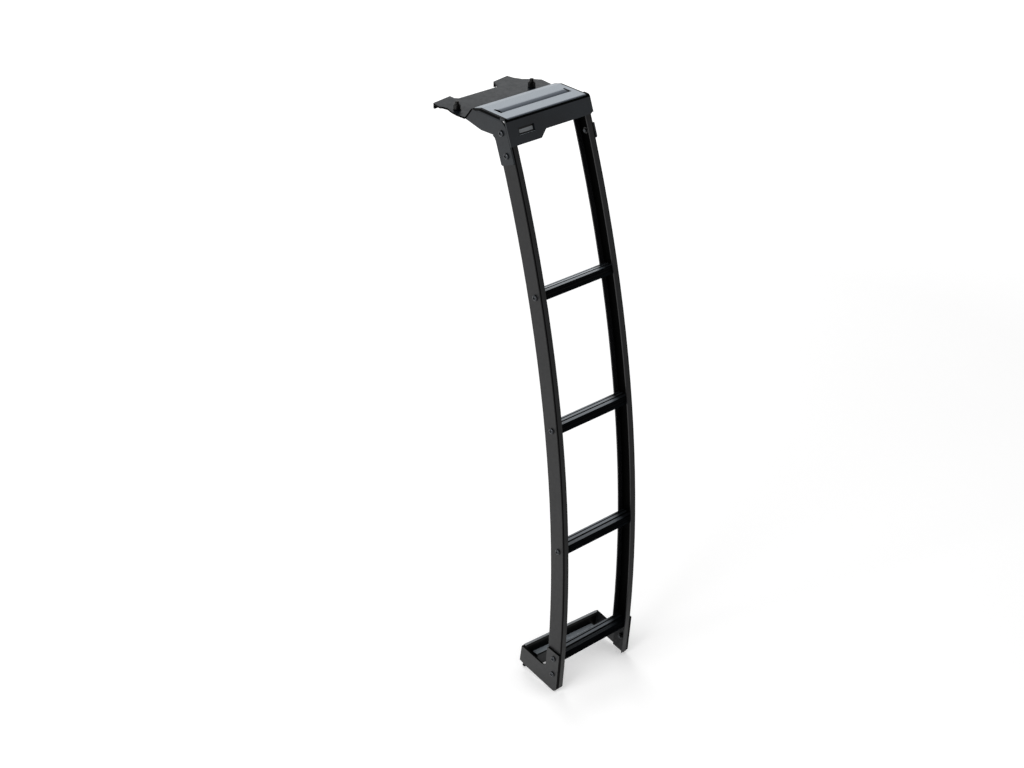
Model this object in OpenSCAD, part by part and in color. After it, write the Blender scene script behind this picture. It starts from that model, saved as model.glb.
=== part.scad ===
// Vehicle ladder: two curved channel rails, four treads, a folded top step with
// its roof clamp plate, and a folded lower bracket that rests on the body side.
// Millimetres, +Z up, the vehicle lies on the +Y side. The origin is the flat
// underside of the clamp plate, midway between its two studs.

/* [Rails] */
// overall width over the two rail webs
ladder_w = 218; // [180:1:360]
// depth of a rail, front flange to rear flange
rail_d = 43; // [34:1:60]
// width of a rail flange
rail_b = 15; // [11:1:22]
// wall of a rail
rail_t = 3; // [2:0.5:5]
// radius of the curve along the front of the rails
arc_r = 2950; // [2000:10:6000]
// lean of the rails from upright at their top bolts
top_lean = 20.5; // [10:0.1:28]
// rail end above the upper top bolt
rail_over = 15; // [12:1:18]
// rail end below the lowest tread
rail_foot = 93.5; // [80:0.5:140]
// bolts ahead of the middle of the rail
bolt_ahead = 4; // [0:0.5:8]

/* [Treads] */
// distance from one tread to the next, along the rail
rung_pitch = 300; // [240:5:340]
// upper top bolt to the first tread, along the rail
first_rung = 345; // [240:5:380]
// height of a tread
rung_h = 19; // [16:0.5:24]
// depth of a tread
rung_d = 33; // [28:0.5:36]
// wall of the tread extrusion
rung_wall = 2.4; // [1.6:0.2:3]
// depth of the grip grooves on the tread
groove_d = 2; // [1:0.2:3]

/* [Bolts] */
// hole for an M8 bolt
bolt_hole = 8.5; // [6.5:0.5:10.5]
// distance between the two bolts of a bracket cheek
bolt_gap = 46.5; // [36:0.5:60]
// screw port inside a tread
port_d = 7; // [5:0.5:8]

/* [Top step] */
// thickness of the folded bracket sheet
sheet_t = 4; // [2:0.5:5]
// inside bend radius of the folded sheet
bend_r = 4; // [1:0.5:5]
// step surface above the underside of the clamp plate
step_rise = 35; // [28:1:60]
// level part of the step, front corner to rear bend
step_level = 82.5; // [70:0.5:120]
// sloping rear strip of the step
flap_run = 24; // [16:1:40]
// drop of the sloping rear strip
flap_drop = 7.2; // [4:0.2:12]
// run of the rear wall down to the clamp plate
drop_run = 19.8; // [10:0.2:30]
// studs to the foot of the rear wall
stud_back = 41.6; // [30:0.2:80]
// depth of the apron on its deep side
apron_deep = 55.6; // [50:0.2:80]
// depth of the apron on its shallow side
apron_low = 40.4; // [36:0.2:50]
// width of the hand slot in the step
slot_w = 190; // [120:1:200]
// front edge of the hand slot from the front corner
slot_front = 35; // [26:1:44]
// opening of the hand slot
slot_d = 23; // [16:1:34]
// gap in front of the bent tongue in the hand slot
tongue_gap = 2; // [1:0.5:8]
// bend of the tongue below the step
tongue_a = 24; // [5:1:35]
// width of the name plate window
badge_w = 42; // [30:1:60]
// height of the name plate window
badge_h = 15; // [10:1:22]

/* [Clamp plate] */
// thickness of the clamp plate
clamp_t = 4; // [3:0.5:6]
// distance between the two studs
stud_gap = 202; // [150:1:220]
// diameter of a stud
stud_d = 10; // [8:1:12]
// stud length below the clamp plate
stud_below = 8; // [6:1:60]
// stud length above the clamp plate
stud_above = 22; // [17:1:30]
// height of the turned-down hook lips
lip_h = 8; // [5:1:20]

/* [Lower bracket] */
// reach of the lower bracket behind the rail front
tray_reach = 118.5; // [100:0.5:180]
// left end of the rear wall behind its right end
wall_skew = 13.5; // [0:0.5:20]
// height of the rear wall
wall_h = 46; // [34:1:70]
// lean of the rear wall, top towards the ladder
wall_lean = 9; // [0:1:15]
// width of the stiffening angle
angle_w = 175; // [120:2:190]
// drop of the stiffening angle below the wall top
angle_low = 33.5; // [16:0.5:38]
// depth of the stiffening angle
angle_d = 17; // [10:1:26]
// front leg of the stiffening angle
angle_leg = 32; // [14:1:36]
// height of the rubber edge trim
trim_h = 9; // [6:0.5:12]
// wall of the rubber edge trim
trim_t = 2; // [1.5:0.5:3]

/* [Hidden] */
rung_count = 4;
seat = 0.1;
corner_n = 4;
mid_r = arc_r - rail_d / 2 + bolt_ahead;
rear_r = arc_r - rail_d;
web_x = ladder_w / 2;
cheek_x = web_x + seat;
rung_back = rail_d / 2 - rail_t - 0.5 + bolt_ahead;
rung_l = ladder_w - 2 * rail_t - 2 * seat;
// angles along the rail, counted up from level with the arc centre
function turn(len) = len / mid_r * 180 / PI;
top_a = top_lean;
end_a = top_a + turn(rail_over);
function rung_a(i) = top_a - turn(first_rung + i * rung_pitch);
foot_a = rung_a(rung_count - 1) - turn(rail_foot);
low_a = rung_a(rung_count - 1) - turn(bolt_gap);
up_a = top_a - turn(bolt_gap);
// front corner of the step, found from the studs and the step sizes
step_y = -stud_back - drop_run - flap_run - step_level;
// arc centre: the apron lies on the rail fronts and ends at the step corner
apron_off = sheet_t + seat;
apron_u = rail_over + 10.5;
arc_y = step_y - apron_u * sin(top_a) + apron_off * cos(top_a) + arc_r * cos(top_a);
arc_z = step_rise - apron_u * cos(top_a) - apron_off * sin(top_a) - arc_r * sin(top_a);
function ring(r, a) = [arc_y - r * cos(a), arc_z + r * sin(a)];
// local point on the rail at angle a: f in front of the rail face, u up along it
function along(a, f, u) = ring(arc_r, a) + f * [-cos(a), sin(a)] + u * [sin(a), cos(a)];

$fn = 48;

// points of a bent sheet along an open path, th thick to the left of it
function unit(v) = v / norm(v);
function left(v) = [-v[1], v[0]];
function turns(a, b, c) = sign((b - a)[0] * (c - b)[1] - (b - a)[1] * (c - b)[0]);
function shift_end(p, q, at, d) = at + d * left(unit(q - p));
function shift_mid(a, b, c, d) =
    let (m = left(unit(b - a)), n = left(unit(c - b)))
    b + d * (m + n) / (1 + m * n);
function bend(a, b, c, r) =
    let (
        u = unit(a - b),
        v = unit(c - b),
        half = acos(u * v) / 2,
        o = b + unit(u + v) * r / sin(half),
        p = b + u * r / tan(half),
        q = b + v * r / tan(half),
        s = atan2(p[1] - o[1], p[0] - o[0]),
        e = atan2(q[1] - o[1], q[0] - o[0]),
        d = ((e - s + 540) % 360) - 180
    )
    [for (j = [0:corner_n]) o + r * [cos(s + d * j / corner_n), sin(s + d * j / corner_n)]];
function offset_path(p, d) = [
    for (i = [0:len(p) - 1])
        i == 0 ? shift_end(p[0], p[1], p[0], d)
        : i == len(p) - 1 ? shift_end(p[i - 1], p[i], p[i], d)
        : shift_mid(p[i - 1], p[i], p[i + 1], d)
];
function rounded_path(q, side, th, r) = [
    for (i = [0:len(q) - 1])
        each (i == 0 || i == len(q) - 1 ? [q[i]]
        : bend(q[i - 1], q[i], q[i + 1], turns(q[i - 1], q[i], q[i + 1]) == side ? r : r + th))
];
function flip(p) = [for (i = [len(p) - 1:-1:0]) p[i]];
// side 1 is the left edge of the sheet, side -1 its right edge, which is the path
function sheet(p, th, r) = concat(
    rounded_path(p, -1, th, r),
    flip(rounded_path(offset_path(p, th), 1, th, r))
);

// moves a drawing of (y, z) onto the side plane and gives it the width w about x = mid
module across(w, mid = 0) {
    translate([mid - w / 2, 0, 0])
        rotate([90, 0, 90])
            linear_extrude(height = w)
                children();
}

// sweeps a drawing of (radius, -x) along the rail arc from angle a0 up to a1
module along_arc(a0, a1) {
    multmatrix([[0, 0, -1, 0], [-1, 0, 0, arc_y], [0, 1, 0, arc_z], [0, 0, 0, 1]])
        rotate([0, 0, a0])
            rotate_extrude(angle = a1 - a0, $fn = 720)
                children();
}

// stands a part drawn with its length on x and its top on z square to the rail
module on_rail(r, a) {
    p = ring(r, a);
    translate([0, p[0], p[1]])
        rotate([-a, 0, 0])
            children();
}

module hole_x(p, d, x, len) {
    translate([x, p[0], p[1]])
        rotate([0, 90, 0])
            cylinder(h = len, d = d, center = true, $fn = 24);
}

// channel section, web at x = side * web_x, flanges pointing to the middle
module rail_section(side) {
    r0 = rear_r;
    c = 2.5;
    s = -side;
    difference() {
        polygon([
            [r0, s * (web_x - rail_b)],
            [r0, s * (web_x - c)],
            [r0 + c * 0.3, s * (web_x - c * 0.3)],
            [r0 + c, s * web_x],
            [arc_r - c, s * web_x],
            [arc_r - c * 0.3, s * (web_x - c * 0.3)],
            [arc_r, s * (web_x - c)],
            [arc_r, s * (web_x - rail_b)]
        ]);
        translate([r0 + rail_t, side > 0 ? -web_x + rail_t : web_x - rail_b - 1])
            square([rail_d - 2 * rail_t, rail_b + 1 - rail_t]);
    }
}

module rail(side) {
    difference() {
        along_arc(foot_a, end_a)
            rail_section(side);
        // the rear flange stops below the lowest tread
        across(rail_b, side * (web_x - rail_b / 2 - rail_t))
            polygon([
                along(low_a, -rail_d - 3, 14),
                along(low_a, -rail_d - 3, -rail_foot),
                along(low_a, -rail_d + rail_t, -rail_foot),
                along(low_a, -rail_d + rail_t, 0)
            ]);
        // clipped corner at the foot
        across(ladder_w + 2, 0)
            polygon([
                along(foot_a, 1, 13),
                along(foot_a, -8, -1),
                along(foot_a, 1, -1)
            ]);
        for (i = [0:rung_count - 1])
            hole_x(ring(mid_r, rung_a(i)), bolt_hole, side * web_x, 4 * rail_t);
        for (a = [top_a, up_a, low_a])
            hole_x(ring(mid_r, a), bolt_hole, side * web_x, 4 * rail_t);
    }
}

module left_rail() {
    color([0.13, 0.135, 0.14])
        rail(-1);
}

module right_rail() {
    color([0.13, 0.135, 0.14])
        rail(1);
}

// tread section, front face on the left, top up, its bolt in the middle
module rung_section() {
    g = groove_d;
    h = rung_h / 2;
    b = rung_back;
    f = b - rung_d;
    w = rung_wall;
    difference() {
        polygon([
            [f, -h + 1],
            [f, h - 2.5],
            [f + 1.2, h - 1.3],
            [b - 19.5, h],
            [b - 1, h],
            [b, h - 1],
            [b, -h + 1],
            [b - 1, -h],
            [f + 1, -h]
        ]);
        // grip grooves on top
        for (x = [b - 8.5, b - 19.5])
            translate([x, h - g])
                square([3, g + 1]);
        // grooves in the front and rear faces
        translate([f - 1, h - 6])
            square([g + 1, 2.6]);
        for (x = [f - 1, b - g])
            translate([x, h - 12])
                square([g + 1, 3.4]);
        // hollows on both sides of the screw port
        for (e = [[f + g + w, -port_d / 2 - w], [port_d / 2 + w, b - g - w]])
            translate([e[0], -h + w])
                square([e[1] - e[0], rung_h - g - 2 * w]);
        circle(d = port_d);
    }
}

module rung(i) {
    color([0.16, 0.165, 0.17])
        on_rail(mid_r, rung_a(i))
            across(rung_l)
                rung_section();
}

module rung_1() {
    rung(0);
}

module rung_2() {
    rung(1);
}

module rung_3() {
    rung(2);
}

module rung_4() {
    rung(3);
}

// outer side of the folded top bracket, from the apron foot to the clamp plate
step_front = [step_y, step_rise];
step_rear = step_front + [step_level, 0];
flap_rear = step_rear + [flap_run, -flap_drop];
drop_foot = flap_rear + [drop_run, -(step_rise - flap_drop - clamp_t)];
function apron_end(len) = step_front - len * [sin(top_a), cos(top_a)];

module step_sheet() {
    difference() {
        polygon(sheet(
            [drop_foot + [6, -7.3], flap_rear, step_rear, step_front, apron_end(apron_deep)],
            sheet_t, bend_r));
        translate([drop_foot[0] - 8, clamp_t - 40])
            square([30, 40]);
    }
}

// side view of the cheek that laps the outside of a rail
module cheek_side() {
    b = bend_r + sheet_t;
    difference() {
        polygon([
            along(top_a, -0.5, -62),
            along(top_a, -2.5, -65),
            along(top_a, -39, -65.5),
            along(top_a, -42, -63),
            along(top_a, -42, -13),
            along(top_a, -43.5, -7),
            along(top_a, -48, -2),
            drop_foot + [-90, -11],
            drop_foot + [-51, -13],
            drop_foot + [0, -3.5],
            drop_foot + [0, 0],
            flap_rear,
            step_rear,
            step_front + [15, 0],
            step_front + [11, -6],
            along(top_a, -0.5, 10)
        ]);
    }
}

// front view of step and cheeks as one folded channel
module step_channel(len) {
    w = web_x + seat;
    rotate([90, 0, 0])
        translate([0, 0, -len])
            linear_extrude(height = len)
                polygon(sheet([
                    [w + sheet_t, -90],
                    [w + sheet_t, 0],
                    [-w - sheet_t, 0],
                    [-w - sheet_t, -90]
                ], sheet_t, bend_r));
}

module step_body() {
    wide = 2 * (web_x + seat + sheet_t);
    // apron, front bend and the drop to the clamp plate
    intersection() {
        across(wide)
            step_sheet();
        union() {
            translate([-wide, step_y - 60, -60])
                cube([2 * wide, 60 + 16, 120]);
            translate([-web_x - seat, step_y, -60])
                cube([2 * (web_x + seat), 200, 120]);
        }
    }
    // level step with its cheeks
    intersection() {
        translate([0, step_y + 11, step_rise])
            step_channel(step_level - 11);
        across(wide + 2)
            cheek_side();
    }
    // sloping rear strip with its cheeks, sheared so that both channels meet section to section
    intersection() {
        translate([0, step_rear[0], step_rise])
            multmatrix([[1, 0, 0, 0], [0, 1, 0, 0], [0, -flap_drop / flap_run, 1, 0], [0, 0, 0, 1]])
                step_channel(70);
        across(wide + 2)
            cheek_side();
    }
    // cheek straps down the rails
    intersection() {
        for (s = [-1, 1])
            translate([s > 0 ? cheek_x : -cheek_x - sheet_t, step_y - 60, -80])
                cube([sheet_t, 230, 80 + step_rise - bend_r - sheet_t]);
        across(wide + 2)
            cheek_side();
    }
}

// corner, edge and window cut out of the apron, seen along it
module apron_cut() {
    x = cheek_x + sheet_t + 1;
    foot = apron_deep + 3;
    step_front_x = -web_x * 0.3;
    on_apron()
        linear_extrude(height = 20, center = true)
            polygon([
                [step_front_x, -foot],
                [step_front_x, -apron_deep],
                [step_front_x + 16, -apron_low],
                [x - 9, -apron_low],
                [x - 4, -apron_low + 3],
                [x, -apron_low + 3],
                [x, -foot]
            ]);
}

// puts x across, y up the apron and z outward, from the step's front corner
module on_apron() {
    translate([0, step_y, step_rise])
        rotate([90 - top_a, 0, 0])
            children();
}

badge_x = -web_x * 0.6;
badge_y = -29.5;

module badge_window() {
    on_apron()
        linear_extrude(height = 20, center = true)
            translate([badge_x, badge_y])
                square([badge_w, badge_h], center = true);
}

module tongue() {
    y0 = step_y + slot_front + slot_d;
    knee = [y0 - slot_d * 0.4, step_rise];
    reach = slot_d * 0.6 - tongue_gap;
    across(slot_w - 8)
        polygon(sheet([
            [y0 + 1, step_rise],
            knee,
            knee - reach * [1, tan(tongue_a)]
        ], sheet_t, slot_d * 1.2));
}

module hand_slot() {
    translate([-slot_w / 2, step_y + slot_front, step_rise - sheet_t - 1])
        cube([slot_w, slot_d, sheet_t + 2]);
}

module top_step() {
    color([0.12, 0.125, 0.13])
        union() {
            difference() {
                step_body();
                hand_slot();
                apron_cut();
                badge_window();
                for (s = [-1, 1], a = [top_a, up_a])
                    hole_x(ring(mid_r, a), bolt_hole, s * cheek_x, 4 * sheet_t);
            }
            tongue();
        }
}

module badge_plate() {
    color([0.2, 0.2, 0.21])
        on_apron()
            translate([badge_x, badge_y, -sheet_t - 0.75])
                cube([badge_w + 4, badge_h + 1.6, 1.5], center = true);
}

thread_d = stud_d - 0.4;
washer_t = 2;
nut_h = 13;

// outline of the clamp plate, hooks at the rear
module clamp_outline() {
    f = -stud_back;
    a = stud_gap / 2;
    polygon([
        [-a - 14.5, f],
        [-a - 16, f + 24],
        [-a - 14.5, f + 42],
        [-a - 10, f + 60],
        [-a - 13, f + 74],
        [-a - 17, f + 78],
        [-a - 14, f + 103],
        [-a + 37, f + 112],
        [-a + 37, f + 97],
        [-a + 43, f + 90],
        [a - 56, f + 90],
        [a - 50, f + 94],
        [a - 41, f + 119],
        [a + 4, f + 127],
        [a + 7, f + 110],
        [a + 16, f + 92],
        [a + 34, f + 76],
        [a + 46, f + 62],
        [a + 44, f + 30],
        [a + 14.5, f]
    ]);
}

module hook_lip(x0, x1, y0, y1) {
    slope = (y1 - y0) / (x1 - x0);
    translate([0, 0, -lip_h])
        linear_extrude(height = lip_h)
            polygon([
                [x0, y0],
                [x1, y1],
                [x1 + slope * clamp_t, y1 - clamp_t],
                [x0 + slope * clamp_t, y0 - clamp_t]
            ]);
}

module clamp_plate() {
    f = -stud_back;
    a = stud_gap / 2;
    color([0.14, 0.145, 0.15])
        difference() {
            union() {
                linear_extrude(height = clamp_t)
                    clamp_outline();
                hook_lip(-a - 14, -a + 37, f + 103, f + 112);
                hook_lip(a - 41, a + 4, f + 119, f + 127);
            }
            for (s = [-1, 1])
                translate([s * a, 0, -1])
                    cylinder(h = clamp_t + 2, d = stud_d, $fn = 32);
        }
}

// full diameter below the plate, thread size through the plate and the nut
module clamp_stud(s) {
    color([0.1, 0.1, 0.1])
        translate([s * stud_gap / 2, 0, 0]) {
            translate([0, 0, -stud_below])
                cylinder(h = stud_below, d = stud_d, $fn = 32);
            cylinder(h = clamp_t + stud_above - 1, d = thread_d, $fn = 32);
            translate([0, 0, clamp_t + stud_above - 1])
                cylinder(h = 1, d1 = thread_d, d2 = thread_d - 2, $fn = 32);
        }
}

module clamp_stud_left() {
    clamp_stud(-1);
}

module clamp_stud_right() {
    clamp_stud(1);
}

module clamp_washer(s) {
    color([0.1, 0.1, 0.1])
        translate([s * stud_gap / 2, 0, clamp_t])
            difference() {
                cylinder(h = washer_t, d = 2 * stud_d + 1, $fn = 32);
                translate([0, 0, -1])
                    cylinder(h = washer_t + 2, d = thread_d, $fn = 32);
            }
}

module clamp_nut(s) {
    top = nut_h - 3.5;
    color([0.1, 0.1, 0.1])
        translate([s * stud_gap / 2, 0, clamp_t + washer_t])
            rotate([0, 0, 20])
                difference() {
                    union() {
                        intersection() {
                            cylinder(h = top, d = 1.7 * stud_d / cos(30), $fn = 6);
                            union() {
                                cylinder(h = top - 1, d = 2 * stud_d, $fn = 32);
                                translate([0, 0, top - 1])
                                    cylinder(h = 1, d1 = 2 * stud_d, d2 = 1.65 * stud_d, $fn = 32);
                            }
                        }
                        cylinder(h = nut_h - 1, d = 1.5 * stud_d, $fn = 32);
                        translate([0, 0, nut_h - 1])
                            cylinder(h = 1, d1 = 1.5 * stud_d, d2 = 1.3 * stud_d, $fn = 32);
                    }
                    translate([0, 0, -1])
                        cylinder(h = nut_h + 2, d = thread_d, $fn = 32);
                }
}

module clamp_washer_left() {
    clamp_washer(-1);
}

module clamp_washer_right() {
    clamp_washer(1);
}

module clamp_nut_left() {
    clamp_nut(-1);
}

module clamp_nut_right() {
    clamp_nut(1);
}

// lower bracket: a rear wall between two cheeks; the wall runs askew in plan
low_p = along(low_a, 0, 0);
wall_top = low_p + [tray_reach, 17.5];
wall_dir = [sin(wall_lean), -cos(wall_lean)];
wall_foot = wall_top + wall_h * wall_dir;
wall_n = [-cos(wall_lean), -sin(wall_lean)];
floor_short = 14;
ledge_root = wall_top + angle_low * wall_dir + sheet_t * wall_n;
// the bottom flange ends against the leg of the stiffening angle
floor_d = (wall_foot[0] - ledge_root[0] + angle_d - sheet_t - seat) / cos(wall_lean);
// how far the wall lies behind its middle at x
function skew(x) = -wall_skew * x / (2 * cheek_x);

// shears what runs across the ladder to the slant of the rear wall
module askew() {
    multmatrix([[1, 0, 0, 0], [skew(1), 1, 0, 0], [0, 0, 1, 0], [0, 0, 0, 1]])
        children();
}

module lower_side(side) {
    d = [-skew(side * (cheek_x + sheet_t / 2)), 0];
    polygon([
        along(low_a, -1, 66) + d,
        along(low_a, -1, -35) + d,
        along(low_a, -8, -46) + d,
        along(low_a, -15, -47) + d,
        wall_foot + [-26, -6],
        wall_foot + [-12, -3],
        wall_foot,
        wall_top,
        along(low_a, -53, 4) + d,
        along(low_a, -45, 9) + d,
        along(low_a, -42, 16) + d,
        along(low_a, -42, 64) + d,
        along(low_a, -40, 66) + d
    ]);
}

// wall with the flange folded forward from its foot, which stops short of the right cheek
module lower_wall() {
    inner = wall_foot + sheet_t * wall_n;
    foot = wall_foot + floor_d * wall_n;
    corner = inner - sheet_t * wall_dir;
    across(2 * cheek_x - floor_short, -floor_short / 2)
        polygon([wall_top, wall_foot, inner, foot, foot - sheet_t * wall_dir, corner, wall_top + sheet_t * wall_n]);
    across(floor_short, cheek_x - floor_short / 2)
        polygon([wall_top, wall_foot, inner, corner, wall_top + sheet_t * wall_n]);
}

module lower_bracket() {
    color([0.12, 0.125, 0.13])
        difference() {
            union() {
                for (s = [-1, 1])
                    askew()
                        across(sheet_t, s * (cheek_x + sheet_t / 2))
                            lower_side(s);
                askew()
                    lower_wall();
            }
            for (s = [-1, 1], a = [rung_a(rung_count - 1), low_a])
                hole_x(ring(mid_r, a), bolt_hole, s * cheek_x, 4 * sheet_t);
        }
}

// folded angle that stiffens the rear wall, lit ledge on top and leg in front
module stiffener() {
    tip = ledge_root + [-angle_d, 0];
    color([0.12, 0.125, 0.13])
        askew()
            across(angle_w, cheek_x - 13 - angle_w / 2)
                difference() {
                    polygon(sheet([
                        tip - [0, angle_leg],
                        tip,
                        ledge_root + [6, 0]
                    ], -sheet_t, bend_r));
                    polygon([
                        wall_top + sheet_t * wall_n,
                        wall_foot + sheet_t * wall_n,
                        wall_foot + [40, 0],
                        wall_top + [40, 0]
                    ]);
                }
}

// rubber edge strip on the top and the front of the rear wall
module edge_trim() {
    up = -wall_dir;
    color([0.05, 0.05, 0.05])
        askew()
            across(2 * cheek_x - 4)
                polygon([
                    wall_top,
                    wall_top + trim_t * up,
                    wall_top + (sheet_t + trim_t) * wall_n + trim_t * up,
                    wall_top + (sheet_t + trim_t) * wall_n - (trim_h - trim_t) * up,
                    wall_top + sheet_t * wall_n - (trim_h - trim_t) * up,
                    wall_top + sheet_t * wall_n
                ]);
}

left_rail();
right_rail();
rung_1();
rung_2();
rung_3();
rung_4();
top_step();
badge_plate();
clamp_plate();
clamp_stud_left();
clamp_stud_right();
clamp_washer_left();
clamp_washer_right();
clamp_nut_left();
clamp_nut_right();
lower_bracket();
stiffener();
edge_trim();
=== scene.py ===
import math

import bmesh
import bpy
from mathutils import Matrix, Vector


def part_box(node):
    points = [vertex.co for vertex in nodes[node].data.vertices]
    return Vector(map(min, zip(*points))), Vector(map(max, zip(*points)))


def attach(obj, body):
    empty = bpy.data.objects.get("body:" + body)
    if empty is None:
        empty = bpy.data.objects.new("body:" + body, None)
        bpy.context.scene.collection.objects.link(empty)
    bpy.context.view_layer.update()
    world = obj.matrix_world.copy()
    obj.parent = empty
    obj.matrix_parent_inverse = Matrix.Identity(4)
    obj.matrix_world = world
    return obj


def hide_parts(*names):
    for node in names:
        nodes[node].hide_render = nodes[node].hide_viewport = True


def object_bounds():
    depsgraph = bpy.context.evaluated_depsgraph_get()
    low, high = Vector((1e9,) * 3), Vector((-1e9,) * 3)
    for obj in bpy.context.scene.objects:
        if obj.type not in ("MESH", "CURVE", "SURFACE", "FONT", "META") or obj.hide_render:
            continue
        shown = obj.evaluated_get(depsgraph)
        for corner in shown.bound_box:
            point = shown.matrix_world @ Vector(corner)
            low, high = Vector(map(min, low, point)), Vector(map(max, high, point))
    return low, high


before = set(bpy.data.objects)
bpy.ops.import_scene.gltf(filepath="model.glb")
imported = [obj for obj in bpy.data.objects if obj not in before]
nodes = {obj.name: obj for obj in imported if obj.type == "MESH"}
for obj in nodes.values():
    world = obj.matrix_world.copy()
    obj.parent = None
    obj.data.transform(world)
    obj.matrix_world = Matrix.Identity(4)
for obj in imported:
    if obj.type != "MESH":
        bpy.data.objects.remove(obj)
cadBox = [list(corner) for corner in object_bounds()]
scene = bpy.context.scene
mm = 0.001
print("frame loaded:", len(nodes), "nodes")

# bolt line of the rails and their outer faces, repeated from the part's source in metres
arc = {
    "y": 2.590193, "z": -1.0234328, "radius": 2.9325,
    "topLean": 20.5, "firstRung": 0.345, "pitch": 0.300, "boltGap": 0.0465,
    "webX": 0.109, "cheekX": 0.1131, "webSheet": 0.003,
}
upwards = (0.0, 0.0, 1.0)


# colour and node helpers

def linearColour(hexText):
    # sRGB hex to the linear values that the sockets take
    out = []
    for i in (0, 2, 4):
        c = int(hexText[i:i + 2], 16) / 255
        out.append(c / 12.92 if c <= 0.04045 else ((c + 0.055) / 1.055) ** 2.4)
    return (*out, 1.0)


def feed(tree, node, **links):
    # sets sockets by name, or by number as i0, i1 and so on; (node, output) makes a link,
    # anything else is a plain value
    for key, value in links.items():
        byNumber = key[0] == "i" and key[1:].isdigit()
        socket = node.inputs[int(key[1:]) if byNumber else key.replace("_", " ")]
        if isinstance(value, tuple) and hasattr(value[0], "outputs"):
            tree.links.new(value[0].outputs[value[1]], socket)
        else:
            socket.default_value = value


def addNode(tree, kind, settings=None, **links):
    # a new node with its settings and links
    node = tree.nodes.new(kind)
    for key, value in (settings or {}).items():
        setattr(node, key, value)
    feed(tree, node, **links)
    return node


def newMaterial(name):
    material = bpy.data.materials.new(name)
    material.use_nodes = True
    tree = material.node_tree
    tree.nodes.clear()
    shader = addNode(tree, "ShaderNodeBsdfPrincipled")
    addNode(tree, "ShaderNodeOutputMaterial", Surface=(shader, "BSDF"))
    place = addNode(tree, "ShaderNodeTexCoord")
    return material, tree, shader, place


def perMetre(millimetres):
    # texture scale that gives features of this size
    return 1000 / millimetres


def rampOf(tree, source, low, high, stops):
    # ramp over a value from low to high; stops are (value, hex, cover)
    span = addNode(tree, "ShaderNodeMapRange", Value=source, From_Min=low, From_Max=high)
    ramp = addNode(tree, "ShaderNodeValToRGB", Fac=(span, "Result"))
    elements = ramp.color_ramp.elements
    while len(elements) < len(stops):
        elements.new(0.5)
    for element, (value, hexText, cover) in zip(elements, stops):
        element.position = (value - low) / (high - low)
    for element, (value, hexText, cover) in zip(elements, stops):
        element.color = (*linearColour(hexText)[:3], cover)
    return ramp


def turnedTowards(tree, vector, sideLess=0.0):
    # how far a face is turned towards a direction, less a share for faces on the two sides
    geometry = addNode(tree, "ShaderNodeNewGeometry")
    facing = addNode(tree, "ShaderNodeVectorMath", {"operation": "DOT_PRODUCT"},
                     i0=(geometry, "Normal"), i1=vector)
    if not sideLess:
        return (facing, "Value")
    less = addNode(tree, "ShaderNodeMath", {"operation": "MULTIPLY_ADD"},
                   i0=turnedSideways(tree), i1=-sideLess, i2=(facing, "Value"))
    return (less, 0)


def turnedSideways(tree):
    # 1 on faces that look straight left or right, 0 on all that look forward, up or down
    geometry = addNode(tree, "ShaderNodeNewGeometry")
    parts = addNode(tree, "ShaderNodeSeparateXYZ", Vector=(geometry, "Normal"))
    sideways = addNode(tree, "ShaderNodeMath", {"operation": "ABSOLUTE"}, i0=(parts, "X"))
    return (sideways, 0)


# coats

coatLook = {
    "peelSize": 2.6,       # mm between the bumps of the orange peel
    "grainSize": 0.9,      # mm, real grain is nearer 0.2 and would not show
    "grainInTone": 0.45, "grainInPeel": 0.35,
    "cloudSize": 70,       # mm, slow change of tone over a panel
    "dustSize": 9,         # mm
    "dustGloss": (-0.05, 0.07),   # how far dust moves the roughness either way
    "toneSpan": (0.45, 0.95),
    "peelDepth": 0.4,      # mm
    "speckleSize": 1.6,    # mm
    "speckle": 0.1,        # share by which it lightens and darkens
    "ior": 1.5,            # cured powder coat and sealed anodising
}


def coatSurface(tree, shader, place, look):
    # shared base of the painted pieces: tone, roughness and orange peel
    cloud = addNode(tree, "ShaderNodeTexNoise", Vector=(place, "Object"),
                    Scale=perMetre(coatLook["cloudSize"]), Detail=3.0)
    grain = addNode(tree, "ShaderNodeTexNoise", Vector=(place, "Object"),
                    Scale=perMetre(coatLook["grainSize"]), Detail=2.0)
    blend = addNode(tree, "ShaderNodeMath", {"operation": "MULTIPLY_ADD"},
                    i0=(grain, "Fac"), i1=coatLook["grainInTone"], i2=(cloud, "Fac"))
    darkAt, lightAt = coatLook["toneSpan"]
    tone = rampOf(tree, (blend, 0), 0.0, 1.0, [(darkAt, look["dark"], 1.0), (lightAt, look["light"], 1.0)])
    dust = addNode(tree, "ShaderNodeTexNoise", Vector=(place, "Object"),
                   Scale=perMetre(coatLook["dustSize"]), Detail=4.0, Roughness=0.6)
    less, more = coatLook["dustGloss"]
    gloss = addNode(tree, "ShaderNodeMapRange", Value=(dust, "Fac"), From_Min=0.3, From_Max=0.7,
                    To_Min=look["rough"] + less, To_Max=look["rough"] + more)
    peel = addNode(tree, "ShaderNodeTexNoise", Vector=(place, "Object"),
                   Scale=perMetre(coatLook["peelSize"]), Detail=1.5)
    height = addNode(tree, "ShaderNodeMath", {"operation": "MULTIPLY_ADD"},
                     i0=(grain, "Fac"), i1=coatLook["grainInPeel"], i2=(peel, "Fac"))
    bump = addNode(tree, "ShaderNodeBump", Height=(height, 0), Strength=look["peel"],
                   Distance=coatLook["peelDepth"] * mm)
    feed(tree, shader, Base_Color=(tone, "Color"), Roughness=(gloss, "Result"),
         Normal=(bump, "Normal"), IOR=look.get("ior", coatLook["ior"]))
    return tone


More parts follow.
